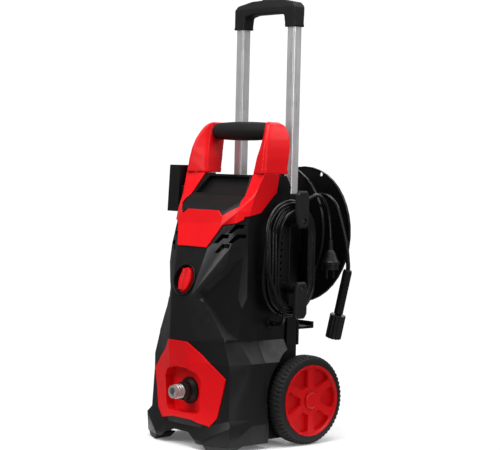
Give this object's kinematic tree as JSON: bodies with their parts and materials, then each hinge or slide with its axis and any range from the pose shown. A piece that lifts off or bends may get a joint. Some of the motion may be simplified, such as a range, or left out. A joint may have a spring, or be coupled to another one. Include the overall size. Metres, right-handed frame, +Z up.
{
  "type": "upright pressure washer",
  "caption": "Upright electric pressure washer with faceted housing, carry handle, telescopic handle, wheels, rear hose reel and wound mains lead.",
  "frame": {"origin": "on the floor below the middle of the object's box, cords left out", "axes": "+Z up, the front with the knob and the outlet faces -Y, the machine's left side is -X"},
  "size_m": [0.3258, 0.3963, 0.905],
  "materials": {
    "black_housing": "fine moulded grain, satin",
    "switch_black": "plain moulded",
    "red_cladding": "smooth satin gloss",
    "red_knob": "smooth gloss",
    "red_hub": "smooth satin gloss",
    "black_grip": "soft-touch matt",
    "foot_rubber": "matt",
    "collar_rubber": "matt",
    "outlet_metal": "turned, lightly oxidised",
    "tube_aluminium": "satin anodised",
    "button_grey": "satin",
    "tyre_black": "matt",
    "axle_steel": "drawn",
    "reel_black": "satin",
    "hook_black": "satin",
    "screw_steel": "zinc-plated",
    "hose_rubber": "smooth satin",
    "hose_sleeve_black": "satin",
    "hose_nut_black": "satin",
    "cable_rubber": "satin sheath",
    "plug_rubber": "satin",
    "motor_metal": "cast and painted",
    "shaft_steel": "ground",
    "nylon": "plain moulded"
  },
  "bodies": {
    "body": {"front_shell": "black_housing", "rear_shell": "black_housing", "base_plate": "black_housing", "knob_bezel": "black_housing", "gun_holder": "black_housing", "rear_ledge": "black_housing", "guide_sleeve_left": "black_housing", "guide_sleeve_right": "black_housing", "reel_bracket": "black_housing", "top_tray": "black_housing", "switch_body": "switch_black", "red_yoke": "red_cladding", "outlet_panel": "red_cladding", "carry_handle_frame": "red_cladding", "carry_handle_grip": "black_grip", "foot_left": "foot_rubber", "foot_right": "foot_rubber", "outlet_collar": "collar_rubber", "outlet_connector": "outlet_metal", "axle": "axle_steel", "reel_axle": "reel_black", "hook_screw_upper": "screw_steel", "hook_screw_lower": "screw_steel", "hose_tail": "hose_rubber", "hose_sleeve": "hose_sleeve_black", "hose_nut": "hose_nut_black", "mains_coil": "cable_rubber", "mains_start": "cable_rubber", "mains_tail": "cable_rubber", "mains_gland": "cable_rubber", "mains_plug": "plug_rubber", "motor_can": "motor_metal", "pump_body": "motor_metal", "pump_head": "motor_metal", "piston_1": "shaft_steel", "piston_2": "shaft_steel", "piston_3": "shaft_steel", "inlet_connector": "nylon"},
    "telescopic_handle": {"tube_left": "tube_aluminium", "tube_right": "tube_aluminium", "telescopic_grip": "black_grip"},
    "release_button": {"release_button": "button_grey"},
    "wheel_left": {"hub_left": "red_hub", "tyre_left": "tyre_black", "hub_cap_left": "red_hub"},
    "wheel_right": {"hub_right": "red_hub", "tyre_right": "tyre_black", "hub_cap_right": "red_hub"},
    "knob": {"knob": "red_knob"},
    "reel": {"reel_flange_front": "reel_black", "reel_flange_rear": "reel_black", "reel_drum": "reel_black", "crank_arm": "reel_black", "hose_coil": "hose_rubber"},
    "crank_knob": {"crank_knob": "black_grip"},
    "cord_hook_upper": {"cord_hook_upper": "hook_black"},
    "cord_hook_lower": {"cord_hook_lower": "hook_black"},
    "motor_shaft": {"motor_rotor": "shaft_steel", "motor_fan": "nylon", "wobble_plate": "shaft_steel"}
  },
  "joints": [
    {"name": "handle_slide", "type": "slide", "parent": "body", "child": "telescopic_handle", "axis": [0, 0, 1], "range_m": [-0.28, 0]},
    {"name": "button_press", "type": "slide", "parent": "telescopic_handle", "child": "release_button", "axis": [0, 0, 1], "range_m": [-0.003, 0], "stiffness_N_per_m": 400},
    {"name": "wheel_left_spin", "type": "hinge", "parent": "body", "child": "wheel_left", "pos_m": [-0.125, 0.0415, 0.09], "axis": [1, 0, 0], "continuous": true},
    {"name": "wheel_right_spin", "type": "hinge", "parent": "body", "child": "wheel_right", "pos_m": [0.135, 0.0415, 0.09], "axis": [1, 0, 0], "continuous": true},
    {"name": "knob_turn", "type": "hinge", "parent": "body", "child": "knob", "pos_m": [0.005, -0.1615, 0.328], "axis": [0, -0.9613, 0.2756], "range_deg": [-90, 0]},
    {"name": "reel_spin", "type": "hinge", "parent": "body", "child": "reel", "pos_m": [0.005, 0.1499, 0.417], "axis": [0, 0.9985, -0.0541], "continuous": true},
    {"name": "crank_knob_spin", "type": "hinge", "parent": "reel", "child": "crank_knob", "pos_m": [0.047, 0.18379, 0.48802], "axis": [0, 0.9985, -0.0541], "continuous": true},
    {"name": "hook_upper_swivel", "type": "hinge", "parent": "body", "child": "cord_hook_upper", "pos_m": [0.155, 0.0055, 0.452], "axis": [1, 0, 0], "range_deg": [-180, 0]},
    {"name": "hook_lower_swivel", "type": "hinge", "parent": "body", "child": "cord_hook_lower", "pos_m": [0.155, 0.0055, 0.317], "axis": [1, 0, 0], "range_deg": [0, 180]},
    {"name": "motor_spin", "type": "hinge", "parent": "body", "child": "motor_shaft", "pos_m": [0.005, -0.0665, 0.3], "axis": [0, 0, 1], "continuous": true}
  ]
}
